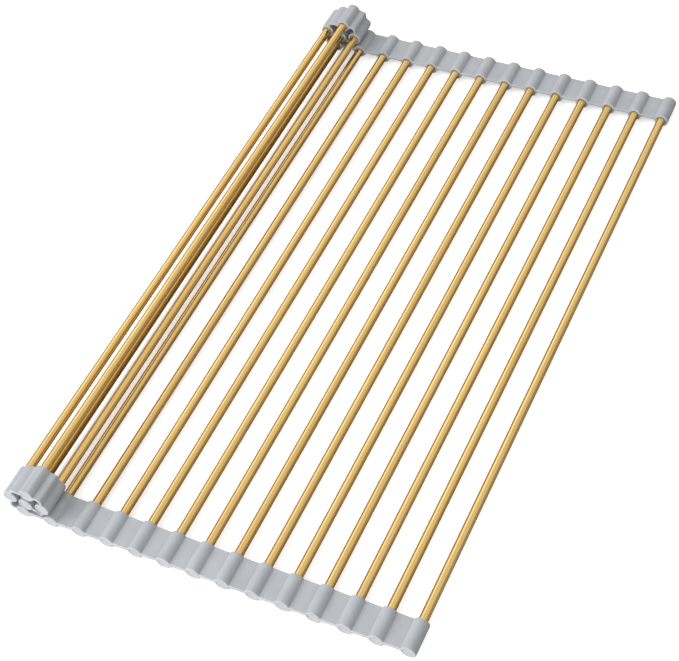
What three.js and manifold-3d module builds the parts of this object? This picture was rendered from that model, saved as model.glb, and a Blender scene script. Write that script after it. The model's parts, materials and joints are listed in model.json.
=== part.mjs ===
// Roll-up dish drying rack: round steel tubes whose ends sit in two moulded silicone strips.
// Millimetres, +Z up, tubes along Y. The strips flex at the thin web between two sockets, so
// each tube with its two sockets is one link of a chain, and each web is a hinge along Y.
// The left end is rolled up on top of the flat part, as the rack is stored.
import * as THREE from "three";
import { mergeVertices } from "three/addons/utils/BufferGeometryUtils.js";
import Module from "manifold-3d";

const wasm = await Module();
wasm.setup();

// Driving dimensions
const PITCH = 18.5; // tube to tube along the flat strip
const OPEN_LENGTH = 406; // bare tube between the two strips
const STRIP_WIDTH = 19.5; // each silicone strip, along the tubes
const TUBE_DIAMETER = 5.5;
const TUBE_WALL = 0.5;
const SOCKET_DIAMETER = 9.2;
const END_WALL = 2; // closes the outer end of each socket
const WEB_THICKNESS = 2.1;
const WEB_RISE = 0.5; // middle of the web above the tube axis
const SOLE_HEIGHT = 4.25; // tube axis above the flat under each socket
const FILLET = 1; // between web and socket
const GAP = 0.3; // between touching pieces
const NOTCH_ANGLE = 58; // the web ends lean back this far, so a web can fold upwards

// The webs from the right end of the rack to the inner end of the roll: the fold of each one at
// rest, in degrees, and how far its fold line lies past the middle of the web. In the roll, most
// webs crease nearer to the tube before them.
const FLAT_WEBS = 12;
const CREASE_SHIFT = -1.85;
const ROLLED_WEBS = [
  { fold: 4, shift: 0 },
  { fold: 98, shift: CREASE_SHIFT },
  { fold: 78, shift: CREASE_SHIFT },
  { fold: 102, shift: 0 },
  { fold: 114, shift: CREASE_SHIFT },
];
const WEBS = [...Array(FLAT_WEBS).fill({ fold: 0, shift: 0 }), ...ROLLED_WEBS];

// Facets
const ROUND_SIDES = 20;
const CROWN_STEPS = 12;
const FLANK_STEPS = 4;
const FILLET_STEPS = 3;

const STEEL = { color: 0xcfa864, roughness: 0.28, metalness: 1 };
const SILICONE = { color: 0xb4b9be, roughness: 0.7, metalness: 0 };

const socketRadius = SOCKET_DIAMETER / 2;
const boreRadius = (TUBE_DIAMETER / 2 + GAP) / Math.cos(Math.PI / ROUND_SIDES);
const boreDepth = STRIP_WIDTH - END_WALL;
const mouthY = OPEN_LENGTH / 2;
const webTop = WEB_RISE + WEB_THICKNESS / 2;
const webBottom = WEB_RISE - WEB_THICKNESS / 2;
const notchDepth = (WEB_THICKNESS / 2) * Math.tan(THREE.MathUtils.degToRad(NOTCH_ANGLE));

// The fillets roll on the socket: their centres are this far from its axis, and they touch it at
// these angles above and below the web.
const filletReach = socketRadius + FILLET;
const angleAbove = Math.asin((webTop + FILLET) / filletReach);
const angleBelow = Math.asin((webBottom - FILLET) / filletReach);

// Points of an arc, both ends included; angles in radians from +X.
function arc(x, y, radius, from, to, steps) {
  return Array.from({ length: steps + 1 }, (_, i) => {
    const angle = from + ((to - from) * i) / steps;
    return new THREE.Vector2(x + radius * Math.cos(angle), y + radius * Math.sin(angle));
  });
}

// A half-web on the right with its two fillets, from the socket's flank below to its crown above.
// Its fold line is length away from the tube axis.
function halfWeb(length) {
  const tip = length - GAP / 2;
  const underX = filletReach * Math.cos(angleBelow);
  const overX = filletReach * Math.cos(angleAbove);
  return [
    ...arc(underX, webBottom - FILLET, FILLET, angleBelow + Math.PI, Math.PI / 2, FILLET_STEPS),
    new THREE.Vector2(tip, webBottom),
    new THREE.Vector2(tip, WEB_RISE),
    new THREE.Vector2(tip - notchDepth, webTop),
    ...arc(overX, webTop + FILLET, FILLET, -Math.PI / 2, angleAbove - Math.PI, FILLET_STEPS),
  ];
}

// The right side of a socket's section, from its flat sole up to its crown. Where the strip ends,
// the length is 0 and there is no web.
function flank(length) {
  const sole = -Math.asin(SOLE_HEIGHT / socketRadius);
  if (length === 0) return arc(0, 0, socketRadius, sole, angleAbove, FLANK_STEPS * 2);
  return [
    ...arc(0, 0, socketRadius, sole, angleBelow, FLANK_STEPS).slice(0, -1),
    ...halfWeb(length),
  ];
}

// Section of one socket across the tubes: a round boss with a flat sole and up to two half-webs.
function socketSection(left, right) {
  const crown = arc(0, 0, socketRadius, angleAbove, Math.PI - angleAbove, CROWN_STEPS);
  const mirrored = flank(left).map((point) => new THREE.Vector2(-point.x, point.y));
  return new THREE.Shape([...flank(right), ...crown.slice(1, -1), ...mirrored.reverse()]);
}

// A closed solid from a geometry whose seams are joined.
function solidOf(geometry) {
  const bare = geometry.index ? geometry.toNonIndexed() : geometry.clone();
  bare.deleteAttribute("normal");
  bare.deleteAttribute("uv");
  const merged = mergeVertices(bare);
  return new wasm.Manifold(
    new wasm.Mesh({
      numProp: 3,
      vertProperties: merged.attributes.position.array,
      triVerts: Uint32Array.from(merged.index.array),
    }),
  );
}

function geometryOf(solid) {
  const mesh = solid.getMesh();
  const geometry = new THREE.BufferGeometry();
  geometry.setAttribute("position", new THREE.BufferAttribute(mesh.vertProperties, 3));
  geometry.setIndex(new THREE.BufferAttribute(mesh.triVerts, 1));
  return geometry;
}

// A socket with its half-webs, left and right being their lengths. Its blind bore opens towards the
// middle of the rack: side is -1 for the near strip and +1 for the far one.
function socketGeometry(side, left, right) {
  const body = new THREE.ExtrudeGeometry(socketSection(left, right), {
    depth: STRIP_WIDTH,
    bevelEnabled: false,
  });
  body.rotateX(Math.PI / 2);
  body.translate(0, side < 0 ? -mouthY : mouthY + STRIP_WIDTH, 0);
  const bore = new THREE.CylinderGeometry(boreRadius, boreRadius, boreDepth * 2, ROUND_SIDES);
  bore.translate(0, side * mouthY, 0);
  const geometry = geometryOf(solidOf(body).subtract(solidOf(bore)));
  geometry.computeVertexNormals();
  return geometry;
}

// A straight open-ended tube along Y, as a lathe of its wall section.
function tubeGeometry() {
  const outer = TUBE_DIAMETER / 2;
  const inner = outer - TUBE_WALL;
  const half = mouthY + boreDepth - GAP;
  const wall = [
    [inner, -half],
    [outer, -half],
    [outer, half],
    [inner, half],
    [inner, -half],
  ].map(([radius, y]) => new THREE.Vector2(radius, y));
  return new THREE.LatheGeometry(wall, ROUND_SIDES);
}

function namedMesh(name, geometry, finish) {
  const mesh = new THREE.Mesh(geometry, new THREE.MeshStandardMaterial(finish));
  mesh.name = name;
  return mesh;
}

// One tube with a socket on each end; links are numbered from the right end of the rack, and left
// and right are the lengths of their half-webs.
function link(number, left, right) {
  const tag = String(number).padStart(2, "0");
  const group = new THREE.Group();
  group.add(
    namedMesh(`tube_${tag}`, tubeGeometry(), STEEL),
    namedMesh(`near_socket_${tag}`, socketGeometry(-1, left, right), SILICONE),
    namedMesh(`far_socket_${tag}`, socketGeometry(1, left, right), SILICONE),
  );
  return group;
}

// The chain of links: each one hangs on the fold line of the web at the left of the link before it.
function rack() {
  const before = WEBS.map(({ shift }) => PITCH / 2 + shift);
  const after = WEBS.map(({ shift }) => PITCH / 2 - shift);
  const first = link(1, before[0], 0);
  let last = first;
  WEBS.forEach(({ fold }, i) => {
    const hinge = new THREE.Group();
    hinge.position.set(-before[i], 0, WEB_RISE);
    hinge.rotation.y = THREE.MathUtils.degToRad(fold);
    const next = link(i + 2, before[i + 1] ?? 0, after[i]);
    next.position.set(-after[i], 0, -WEB_RISE);
    hinge.add(next);
    last.add(hinge);
    last = next;
  });
  return first;
}

// Origin under the middle of the whole rack, on the surface that the sockets stand on.
const model = new THREE.Group();
model.add(rack());
model.updateMatrixWorld(true);
const box = new THREE.Box3().setFromObject(model, true);
model.position.set(-(box.min.x + box.max.x) / 2, 0, -box.min.z);

export default model;
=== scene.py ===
import json
import math

import bpy
import numpy as np
from mathutils import Matrix, Vector


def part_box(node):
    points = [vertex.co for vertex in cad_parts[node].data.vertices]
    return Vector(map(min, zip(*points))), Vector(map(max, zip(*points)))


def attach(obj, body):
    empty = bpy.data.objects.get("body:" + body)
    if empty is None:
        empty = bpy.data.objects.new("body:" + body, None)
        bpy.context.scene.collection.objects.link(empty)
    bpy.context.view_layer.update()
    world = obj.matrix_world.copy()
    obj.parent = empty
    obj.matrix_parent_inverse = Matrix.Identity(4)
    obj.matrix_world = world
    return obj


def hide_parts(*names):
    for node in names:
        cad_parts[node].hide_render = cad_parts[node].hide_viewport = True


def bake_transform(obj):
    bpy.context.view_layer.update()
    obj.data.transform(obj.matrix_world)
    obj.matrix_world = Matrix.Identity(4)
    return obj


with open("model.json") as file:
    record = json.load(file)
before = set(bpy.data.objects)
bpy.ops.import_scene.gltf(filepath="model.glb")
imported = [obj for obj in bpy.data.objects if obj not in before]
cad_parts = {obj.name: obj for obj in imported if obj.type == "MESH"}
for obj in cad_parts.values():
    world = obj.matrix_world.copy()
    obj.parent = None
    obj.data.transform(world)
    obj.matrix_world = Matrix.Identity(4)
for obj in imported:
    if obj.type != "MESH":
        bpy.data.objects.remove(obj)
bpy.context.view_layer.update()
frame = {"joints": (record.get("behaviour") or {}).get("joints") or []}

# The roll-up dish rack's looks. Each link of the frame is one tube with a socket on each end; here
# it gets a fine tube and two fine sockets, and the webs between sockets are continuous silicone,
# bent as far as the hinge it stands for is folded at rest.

MM = 0.001

# The camera stands this far from a point on the floor and looks at it from this direction. Angles
# are in degrees, the lens and the sensor's width in millimetres.
CAMERA_AIM = (-5.1 * MM, -33.5 * MM, 0)
CAMERA_DISTANCE = 988.3 * MM
CAMERA_AZIMUTH = 31.9
CAMERA_ELEVATION = 50.0
CAMERA_ROLL = -9.0
CAMERA_LENS = 85.07
CAMERA_SENSOR = 36
CAMERA_NEAREST = 10 * MM

# Details of the silicone strips that the frame doesn't hold
WEB_THICKNESS = 2.1 * MM
WEB_SETBACK = 0.05 * MM      # web edges behind the socket's two ends
FILLET = 0.25 * MM           # between web and socket
WEB_ROOT = 0.15 * MM         # how far a web reaches into a socket
WEB_EDGE = 0.45 * MM         # rounding of the web's edges
ROLLED_FOLD = 60             # a web folded further than this at rest belongs to the roll
ROLLED_ARCH = 1.4 * MM       # rolled webs have taken a set: unrolled, they stay this arched
INNER_BEND = 2.6 * MM        # the innermost web bends this far to both sides of its fold line
END_WALL = 2.0 * MM
BORE_PLAY = 0.08 * MM        # between tube and bore at the mouth
LIP_ROUND = 0.35 * MM        # rounding of the bore's mouth
MOUTH_ROUND = 0.45 * MM      # outer edge of the mouth face
END_ROUND = 0.6 * MM         # outer edge of the closed end
RIM_WIDTH = 1.05 * MM        # raised rim round the closed end
RECESS = 0.3 * MM            # the closed end's disc lies this far inside the rim
DISC_RINGS = (0.6, 0.3, 0)   # rings of points on that disc, as shares of the rim's radius

TUBE_WALL = 0.5 * MM
TUBE_CHAMFER = 0.15 * MM

# Mesh fineness
SOCKET_SIDES = 72
TUBE_SIDES = 56
WALL_STEPS = 6               # along the outside of a socket
ROUND_STEPS = 5
SMALL_ROUND_STEPS = 3
FILLET_STEPS = 12
BEND_STEPS = 26
SOLVE_STEPS = 40

# Noise patterns: stretch along X, Y and Z, scale, and detail
DRAWN_LINES = ((1, 0.004, 1), 1500, 3)
TONE_BANDS = ((1, 0.02, 1), 380, 2)
SHEEN_PATCHES = ((1, 0.15, 1), 60, 2)
CLOUDS = ((1, 1, 1), 90, 4)
GRAIN = ((1, 1, 1), 5200, 2)
RIPPLE = ((1, 1, 1), 420, 3)
NOISE_LOW, NOISE_HIGH = 0.25, 0.75  # nearly all of a noise pattern lies between these

# Bumps: strength and distance
LINE_BUMP = (0.012, 0.01 * MM)
RIPPLE_BUMP = (0.10, 0.10 * MM)
GRAIN_BUMP = (0.15, 0.02 * MM)

# Colours at places along a noise pattern, and the range of roughness
GOLD_TONES = [
    (0.30, (0.80, 0.54, 0.20)),
    (0.50, (0.86, 0.595, 0.225)),
    (0.72, (0.91, 0.64, 0.26)),
]
GOLD_ROUGHNESS = (0.20, 0.27)
GOLD_EDGE = (0.72, 0.55, 0.30, 1)  # tint of reflections at grazing angles
SILICONE_TONES = [
    (0.30, (0.345, 0.362, 0.382)),
    (0.50, (0.365, 0.382, 0.402)),
    (0.72, (0.385, 0.402, 0.422)),
]
SILICONE_ROUGHNESS = (0.55, 0.70)
SILICONE_GLOSS = 0.35
SILICONE_SHEEN = 0.08
SILICONE_SHEEN_ROUGHNESS = 0.5

WHITE = (1, 1, 1, 1)
FLOOR_SIZE = 30
FLOOR_DROP = 0.2 * MM        # the floor lies this far below the soles
FLOOR_COLOUR = (0.9, 0.9, 0.9, 1)
FLOOR_ROUGHNESS = 0.6
FLOOR_GLOW = 0.52            # only the camera sees it
FLOOR_BOUNCE = (0.33, 0.32, 0.31, 1)  # the floor's colour in reflections and bounced light

# Lamps aimed at the middle of the rack: place, width and height in metres, power in watts, and
# whether reflections show the lamp. Only the gleam is meant to be seen in the tubes.
LAMPS = {
    "key": ((-1.15, -0.6, 1.05), (1.2, 1.2), 18, False),
    "fill": ((-0.1, -1.6, 0.22), (1.4, 0.4), 25, False),
    "gleam": ((-1.3, 1.2, 1.5), (1.3, 1.3), 3.6, True),
    "back": ((-0.3, 1.8, 0.3), (1.8, 0.6), 9, False),
}

# The studio's greys along its upward direction, which leans to the left
STUDIO_UP = (-0.10, 0, 0.995)
STUDIO_TONES = [(0.00, 0.28), (0.10, 0.38), (0.36, 0.80), (0.60, 1.00)]
STUDIO_STRENGTH = 0.81


# ---------------------------------------------------------------- places, from the frame

def tag(number):
    return f"{number:02d}"


def middle(node):
    low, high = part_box(node)
    return (low + high) / 2


JOINTS = frame["joints"]
LINKS = range(1, len(JOINTS) + 2)

tube_low, tube_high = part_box("tube_01")
TUBE_RADIUS = (tube_high.z - tube_low.z) / 2
socket_low, socket_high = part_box("near_socket_01")
AXIS_HEIGHT = middle("tube_01").z
SOCKET_RADIUS = socket_high.z - AXIS_HEIGHT
SOLE = AXIS_HEIGHT - socket_low.z
MOUTH = abs(socket_high.y)
STRIP_WIDTH = socket_high.y - socket_low.y
WEB_RISE = JOINTS[0]["pos_m"][2] - AXIS_HEIGHT
PITCH = middle("tube_01").x - middle("tube_02").x

WEB_TOP = WEB_RISE + WEB_THICKNESS / 2
WEB_BOTTOM = WEB_RISE - WEB_THICKNESS / 2
FILLET_REACH = SOCKET_RADIUS + FILLET

# Distances from a tube's axis: the fillet above the web ends at the first, and both fillets have
# ended at the second.
WEB_CLEAR_ABOVE = math.sqrt(FILLET_REACH ** 2 - (WEB_TOP + FILLET) ** 2)
WEB_CLEAR = math.sqrt(FILLET_REACH ** 2 - (WEB_BOTTOM - FILLET) ** 2)


def fold_at_rest(joint):
    """How far a web is folded at rest: its hinge reads 0 here, and its lower limit is flat."""
    return -math.radians(joint["range_deg"][0])


def link_frames():
    """For each link, the matrix from a flat link at the origin to its place in the rack."""
    turned, frames = 0.0, {}
    for number in LINKS:
        if number > 1:
            turned += fold_at_rest(JOINTS[number - 2])
        place = Matrix.Translation(middle(f"tube_{tag(number)}"))
        frames[number] = place @ Matrix.Rotation(turned, 4, "Y")
    return frames


PLACES = link_frames()


# ---------------------------------------------------------------- mesh helpers

def arc(x, y, radius, start, end, steps=ROUND_STEPS):
    """Points on an arc, both ends included; angles in degrees."""
    angles = np.radians(np.linspace(start, end, steps + 1))
    return [(x + radius * math.cos(a), y + radius * math.sin(a)) for a in angles]


def make_object(name, points, faces, material):
    mesh = bpy.data.meshes.new(name)
    mesh.from_pydata([tuple(p) for p in points], [], faces)
    mesh.validate()
    mesh.shade_smooth()
    mesh.materials.append(material)
    obj = bpy.data.objects.new(name, mesh)
    bpy.context.scene.collection.objects.link(obj)
    obj.modifiers.new("flat_faces_look_flat", "WEIGHTED_NORMAL")
    return obj


def lathe(profile, sides):
    """A closed solid turned about Y from (radius, y) points: a loop, or a line with both ends on
    the axis. With the radius to the right and y up, the solid is on the left of the line."""
    on_axis = profile[0][0] == 0
    points, rings = [], []
    for radius, y in profile:
        if radius == 0:
            rings.append([len(points)] * sides)
            points.append((0, y, 0))
            continue
        rings.append(list(range(len(points), len(points) + sides)))
        for i in range(sides):
            angle = 2 * math.pi * i / sides
            points.append((radius * math.cos(angle), y, radius * math.sin(angle)))
    pairs = list(zip(rings, rings[1:]))
    if not on_axis:
        pairs.append((rings[-1], rings[0]))
    faces = []
    for a, b in pairs:
        for i in range(sides):
            j = (i + 1) % sides
            corners = [a[i], b[i], b[j], a[j]]
            faces.append(list(dict.fromkeys(corners)))
    return points, faces


def placed(points, matrix):
    array = np.array(points, float) @ np.array(matrix.to_3x3()).T
    return array + np.array(matrix.translation)


# ---------------------------------------------------------------- materials

def new_material(name):
    material = bpy.data.materials.new(name)
    material.use_nodes = True
    nodes = material.node_tree.nodes
    nodes.clear()
    output = nodes.new("ShaderNodeOutputMaterial")
    shader = nodes.new("ShaderNodeBsdfPrincipled")
    material.node_tree.links.new(shader.outputs["BSDF"], output.inputs["Surface"])
    return material, shader


def noise(material, stretch, scale, detail):
    """A noise pattern over the rack's own coordinates; a factor below 1 draws it out."""
    nodes, links = material.node_tree.nodes, material.node_tree.links
    place = nodes.new("ShaderNodeTexCoord")
    mapping = nodes.new("ShaderNodeMapping")
    mapping.inputs["Scale"].default_value = stretch
    links.new(place.outputs["Object"], mapping.inputs["Vector"])
    pattern = nodes.new("ShaderNodeTexNoise")
    pattern.inputs["Scale"].default_value = scale
    pattern.inputs["Detail"].default_value = detail
    links.new(mapping.outputs["Vector"], pattern.inputs["Vector"])
    return pattern.outputs["Fac"]


def ramp(owner, value, stops):
    """Colours at places from 0 to 1 along value, for a material or a world."""
    nodes, links = owner.node_tree.nodes, owner.node_tree.links
    node = nodes.new("ShaderNodeValToRGB")
    elements = node.color_ramp.elements
    while len(elements) < len(stops):
        elements.new(0.5)
    for element, (place, colour) in zip(elements, stops):
        element.position = place
        element.color = (*colour, 1)
    links.new(value, node.inputs["Fac"])
    return node.outputs["Color"]


def spread(material, value, low, high):
    """A noise pattern's values spread from low to high."""
    nodes, links = material.node_tree.nodes, material.node_tree.links
    node = nodes.new("ShaderNodeMapRange")
    node.inputs["From Min"].default_value = NOISE_LOW
    node.inputs["From Max"].default_value = NOISE_HIGH
    node.inputs["To Min"].default_value = low
    node.inputs["To Max"].default_value = high
    links.new(value, node.inputs["Value"])
    return node.outputs["Result"]


def bump(material, shader, layers):
    """Stacks (height, strength, distance) layers on the shader's normal."""
    nodes, links = material.node_tree.nodes, material.node_tree.links
    normal = None
    for height, strength, distance in layers:
        node = nodes.new("ShaderNodeBump")
        node.inputs["Strength"].default_value = strength
        node.inputs["Distance"].default_value = distance
        links.new(height, node.inputs["Height"])
        if normal is not None:
            links.new(normal, node.inputs["Normal"])
        normal = node.outputs["Normal"]
    links.new(normal, shader.inputs["Normal"])


def gold_steel():
    """Gold-coloured stainless steel, polished along the tube: fine drawn lines, a soft sheen."""
    material, shader = new_material("gold_steel")
    links = material.node_tree.links
    lines = noise(material, *DRAWN_LINES)
    bands = noise(material, *TONE_BANDS)
    patches = noise(material, *SHEEN_PATCHES)
    tone = ramp(material, bands, GOLD_TONES)
    links.new(tone, shader.inputs["Base Color"])
    links.new(spread(material, patches, *GOLD_ROUGHNESS), shader.inputs["Roughness"])
    shader.inputs["Metallic"].default_value = 1
    shader.inputs["Specular Tint"].default_value = GOLD_EDGE
    bump(material, shader, [(lines, *LINE_BUMP)])
    return material


def silicone():
    """Light grey moulded silicone: matt, very finely grained, a little cloudy."""
    material, shader = new_material("silicone")
    links = material.node_tree.links
    clouds = noise(material, *CLOUDS)
    grain = noise(material, *GRAIN)
    ripple = noise(material, *RIPPLE)
    tone = ramp(material, clouds, SILICONE_TONES)
    links.new(tone, shader.inputs["Base Color"])
    links.new(spread(material, ripple, *SILICONE_ROUGHNESS), shader.inputs["Roughness"])
    shader.inputs["Specular IOR Level"].default_value = SILICONE_GLOSS
    shader.inputs["Sheen Weight"].default_value = SILICONE_SHEEN
    shader.inputs["Sheen Roughness"].default_value = SILICONE_SHEEN_ROUGHNESS
    bump(material, shader, [(ripple, *RIPPLE_BUMP), (grain, *GRAIN_BUMP)])
    return material


STEEL = gold_steel()
SILICONE = silicone()


# ---------------------------------------------------------------- the tubes

def tube_profile(half_length):
    """The tube's wall, with its cut ends lightly chamfered."""
    inner = TUBE_RADIUS - TUBE_WALL
    shoulder = half_length - TUBE_CHAMFER
    outside = [
        (TUBE_RADIUS - TUBE_CHAMFER, -half_length),
        (TUBE_RADIUS, -shoulder),
        (TUBE_RADIUS, shoulder),
        (TUBE_RADIUS - TUBE_CHAMFER, half_length),
    ]
    inside = [
        (inner + TUBE_CHAMFER, half_length),
        (inner, shoulder),
        (inner, -shoulder),
        (inner + TUBE_CHAMFER, -half_length),
    ]
    return outside + inside


def add_tubes():
    half_length = (tube_high.y - tube_low.y) / 2
    points, faces = lathe(tube_profile(half_length), TUBE_SIDES)
    for number in LINKS:
        n = tag(number)
        tube = make_object(f"steel_tube_{n}", placed(points, PLACES[number]), faces, STEEL)
        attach(tube, f"link_{n}")
        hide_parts(f"tube_{n}")


# ---------------------------------------------------------------- the sockets

def socket_profile():
    """From the bottom of the bore, out of the mouth, over the outside to the middle of the closed
    end; y runs from 0 at the mouth to the strip's outer edge."""
    bore = TUBE_RADIUS + BORE_PLAY
    outer = SOCKET_RADIUS
    depth = STRIP_WIDTH - END_WALL
    rim = outer - RIM_WIDTH
    end = STRIP_WIDTH
    lip = arc(bore + LIP_ROUND, LIP_ROUND, LIP_ROUND, 180, 270)
    mouth = arc(outer - MOUTH_ROUND, MOUTH_ROUND, MOUTH_ROUND, 270, 360)
    closed_end = arc(outer - END_ROUND, end - END_ROUND, END_ROUND, 0, 90)
    half_step = RECESS / 2
    step = arc(rim, end - half_step, half_step, 90, 180, SMALL_ROUND_STEPS)
    foot = arc(rim - RECESS, end - half_step, half_step, 0, -90, SMALL_ROUND_STEPS)[1:]
    disc = [(rim * share, end - RECESS) for share in DISC_RINGS]
    spacing = (end - MOUTH_ROUND - END_ROUND) / WALL_STEPS
    walls = [(outer, MOUTH_ROUND + i * spacing) for i in range(1, WALL_STEPS)]
    return [(0, depth), (bore, depth), *lip, *mouth, *walls, *closed_end, *step, *foot, *disc]


def add_sockets(strip, side):
    """side is -1 for the near strip and +1 for the far one."""
    points, faces = lathe(socket_profile(), SOCKET_SIDES)
    flat = [(x, side * (MOUTH + y), max(z, -SOLE)) for x, y, z in points]
    if side < 0:
        faces = [face[::-1] for face in faces]
    for number in LINKS:
        n = tag(number)
        cap = make_object(f"{strip}_cap_{n}", placed(flat, PLACES[number]), faces, SILICONE)
        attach(cap, f"link_{n}")
        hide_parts(f"{strip}_socket_{n}")


# ---------------------------------------------------------------- the webs

def web_heights(distance):
    """Lowest and highest point of a flat web this far from the nearer tube axis, in a link's own
    heights: level in the middle, then curving over the fillets on to the socket."""
    top, bottom = WEB_TOP, WEB_BOTTOM
    share = SOCKET_RADIUS / FILLET_REACH
    if distance < WEB_CLEAR_ABOVE:
        x = WEB_CLEAR_ABOVE - max(distance, WEB_CLEAR_ABOVE * share)
        top = WEB_TOP + FILLET - math.sqrt(FILLET ** 2 - x ** 2)
    if distance < WEB_CLEAR:
        x = WEB_CLEAR - max(distance, WEB_CLEAR * share)
        bottom = WEB_BOTTOM - FILLET + math.sqrt(FILLET ** 2 - x ** 2)
    return bottom, top


def web_stations():
    """Distances from one tube axis to the next at which the web has a ring of points: close
    together over the fillets, even in between."""
    inside = WEB_CLEAR_ABOVE * SOCKET_RADIUS / FILLET_REACH - WEB_ROOT
    tight = np.linspace(inside, WEB_CLEAR, FILLET_STEPS)
    level = np.linspace(WEB_CLEAR, PITCH / 2, BEND_STEPS // 2)[1:]
    half = np.concatenate([tight, level])
    return np.concatenate([half, (PITCH - half)[::-1][1:]])


def web_ring(bottom, top, near_edge, far_edge):
    """Section of the web across the tubes: a rectangle with rounded corners, as (y, z)."""
    r = WEB_EDGE
    return [
        *arc(far_edge - r, bottom + r, r, -90, 0, SMALL_ROUND_STEPS),
        *arc(far_edge - r, top - r, r, 0, 90, SMALL_ROUND_STEPS),
        *arc(near_edge + r, top - r, r, 90, 180, SMALL_ROUND_STEPS),
        *arc(near_edge + r, bottom + r, r, 180, 270, SMALL_ROUND_STEPS),
    ]


def flat_web(side, arch):
    """A flat web, or one that stays a little arched, in the frame of the link on its right."""
    edges = sorted([side * (MOUTH + WEB_SETBACK), side * (MOUTH + STRIP_WIDTH - WEB_SETBACK)])
    points, faces = [], []
    stations = web_stations()
    for distance in stations:
        bottom, top = web_heights(min(distance, PITCH - distance))
        level = np.clip((distance - WEB_CLEAR) / (PITCH - 2 * WEB_CLEAR), 0, 1)
        lift = arch * math.sin(math.pi * level) ** 2
        points += [(-distance, y, z + lift) for y, z in web_ring(bottom, top, *edges)]
    count = len(points) // len(stations)
    for s in range(len(stations) - 1):
        for i in range(count):
            j = (i + 1) % count
            a, b = s * count, (s + 1) * count
            faces.append([a + i, b + i, b + j, a + j])
    faces.append(list(range(count)))
    faces.append([len(points) - 1 - i for i in range(count)])
    return np.array(points), faces


def turn(points, angles):
    """Points turned about Y, each by its own angle, as the hinges turn."""
    c, s = np.cos(angles), np.sin(angles)
    x, y, z = points.T
    return np.stack([x * c + z * s, y, z * c - x * s], axis=1)


def bend(points, fold, start, end):
    """Bends flat points, given from the fold line, by fold."""
    chord = end - start

    def share(angles):
        along = (turn(points, angles) - start) @ chord / (chord @ chord)
        t = np.clip(along, 0, 1)
        return t * t * (3 - 2 * t)

    low = np.zeros(len(points))
    high = np.ones(len(points))
    for _ in range(SOLVE_STEPS):
        half = (low + high) / 2
        above = share(half * fold) > half
        low = np.where(above, half, low)
        high = np.where(above, high, half)
    return turn(points, (low + high) / 2 * fold)


def bend_ends(fold_line, fold, innermost):
    """Where a web's bend starts and ends, from its fold line; fold_line is how far that lies from
    the tube on its right."""
    before = fold_line - WEB_CLEAR
    after = PITCH - fold_line - WEB_CLEAR
    if innermost:
        before = after = INNER_BEND
    start = np.array([before, 0, 0])
    end = turn(np.array([[-after, 0, 0]]), np.array([fold]))[0]
    return start, end


def add_webs(strip, side):
    for number in LINKS[:-1]:
        joint = JOINTS[number - 1]
        place = PLACES[number]
        fold = fold_at_rest(joint)
        rolled = fold > math.radians(ROLLED_FOLD)
        innermost = number == LINKS[-2]
        arch = ROLLED_ARCH if rolled else 0
        points, faces = flat_web(side, arch)
        pivot = place.inverted() @ Vector(joint["pos_m"])
        start, end = bend_ends(-pivot.x, fold, innermost)
        bent = bend(points - np.array(pivot), fold, start, end) + np.array(pivot)
        web = make_object(f"{strip}_web_{tag(number)}", placed(bent, place), faces, SILICONE)
        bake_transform(web)


# ---------------------------------------------------------------- floor, light and camera

def camera_sees(tree, seen, otherwise, output):
    """The camera sees one shader; reflections and bounced light get the other."""
    path = tree.nodes.new("ShaderNodeLightPath")
    mix = tree.nodes.new("ShaderNodeMixShader")
    tree.links.new(path.outputs["Is Camera Ray"], mix.inputs["Fac"])
    tree.links.new(otherwise, mix.inputs[1])
    tree.links.new(seen, mix.inputs[2])
    tree.links.new(mix.outputs["Shader"], output)


def add_floor():
    """A white floor that glows a little to the camera, so that shadows stay faint. It bounces less
    light than it shows, which keeps the undersides of the tubes and sockets dark."""
    bpy.ops.mesh.primitive_plane_add(size=FLOOR_SIZE, location=(0, 0, -FLOOR_DROP))
    floor = bpy.context.object
    floor.name = "floor"
    material, shader = new_material("floor")
    nodes = material.node_tree.nodes
    shader.inputs["Base Color"].default_value = FLOOR_COLOUR
    shader.inputs["Roughness"].default_value = FLOOR_ROUGHNESS
    shader.inputs["Emission Color"].default_value = WHITE
    shader.inputs["Emission Strength"].default_value = FLOOR_GLOW
    bounce = nodes.new("ShaderNodeBsdfDiffuse")
    bounce.inputs["Color"].default_value = FLOOR_BOUNCE
    surface = nodes["Material Output"].inputs["Surface"]
    camera_sees(material.node_tree, shader.outputs["BSDF"], bounce.outputs["BSDF"], surface)
    floor.data.materials.append(material)


def add_lamp(name, place, size, power, mirrored):
    light = bpy.data.lights.new(name, "AREA")
    light.shape = "RECTANGLE"
    light.size, light.size_y = size
    light.energy = power
    obj = bpy.data.objects.new(name, light)
    bpy.context.scene.collection.objects.link(obj)
    obj.location = place
    obj.rotation_euler = (-Vector(place)).to_track_quat("-Z", "Y").to_euler()
    obj.visible_glossy = mirrored


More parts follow.
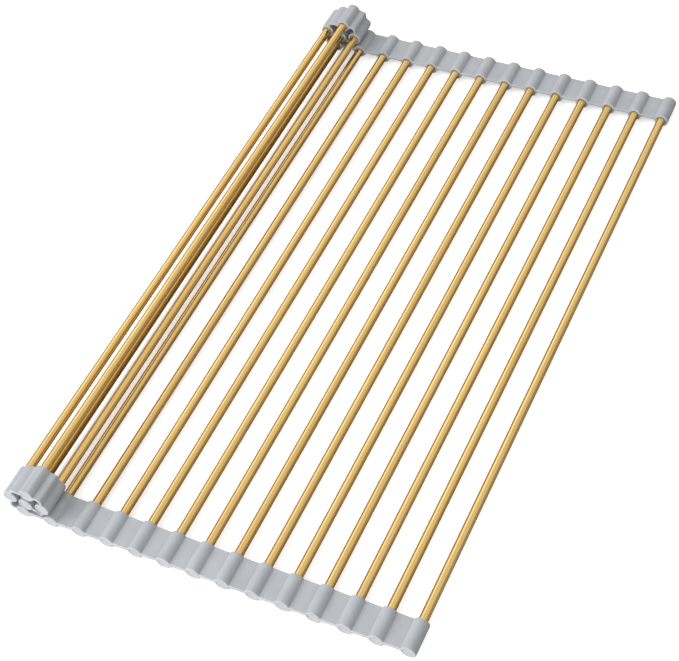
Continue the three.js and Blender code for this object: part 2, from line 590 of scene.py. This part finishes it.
def add_world():
    """A plain white backdrop to the camera. What lights the rack and shows in its reflections is a
    white studio whose walls darken towards the floor, more so on the right."""
    world = bpy.data.worlds.new("studio")
    bpy.context.scene.world = world
    world.use_nodes = True
    nodes, links = world.node_tree.nodes, world.node_tree.links
    direction = nodes.new("ShaderNodeTexCoord")
    height = nodes.new("ShaderNodeVectorMath")
    height.operation = "DOT_PRODUCT"
    height.inputs[1].default_value = STUDIO_UP
    links.new(direction.outputs["Generated"], height.inputs[0])
    greys = [(place, (tone, tone, tone)) for place, tone in STUDIO_TONES]
    walls = ramp(world, height.outputs["Value"], greys)
    studio = nodes["Background"]
    links.new(walls, studio.inputs["Color"])
    studio.inputs["Strength"].default_value = STUDIO_STRENGTH
    plain = nodes.new("ShaderNodeBackground")
    plain.inputs["Color"].default_value = WHITE
    surface = nodes["World Output"].inputs["Surface"]
    camera_sees(world.node_tree, plain.outputs["Background"], studio.outputs["Background"], surface)


def add_camera():
    data = bpy.data.cameras.new("camera")
    data.lens = CAMERA_LENS
    data.sensor_width = CAMERA_SENSOR
    data.clip_start = CAMERA_NEAREST
    camera = bpy.data.objects.new("camera", data)
    bpy.context.scene.collection.objects.link(camera)
    azimuth, elevation = math.radians(CAMERA_AZIMUTH), math.radians(CAMERA_ELEVATION)
    level = math.cos(elevation)
    back = Vector((math.sin(azimuth) * level, -math.cos(azimuth) * level, math.sin(elevation)))
    camera.location = Vector(CAMERA_AIM) + back * CAMERA_DISTANCE
    upright = (-back).to_track_quat("-Z", "Y").to_matrix()
    rolled = upright @ Matrix.Rotation(math.radians(CAMERA_ROLL), 3, "Z")
    camera.rotation_euler = rolled.to_euler()
    bpy.context.scene.camera = camera


add_camera()
add_tubes()
for strip_name, strip_side in (("near", -1), ("far", 1)):
    add_sockets(strip_name, strip_side)
    add_webs(strip_name, strip_side)
add_floor()
for lamp_name, lamp in LAMPS.items():
    add_lamp(lamp_name, *lamp)
add_world()
bpy.context.scene.view_settings.view_transform = "Standard"
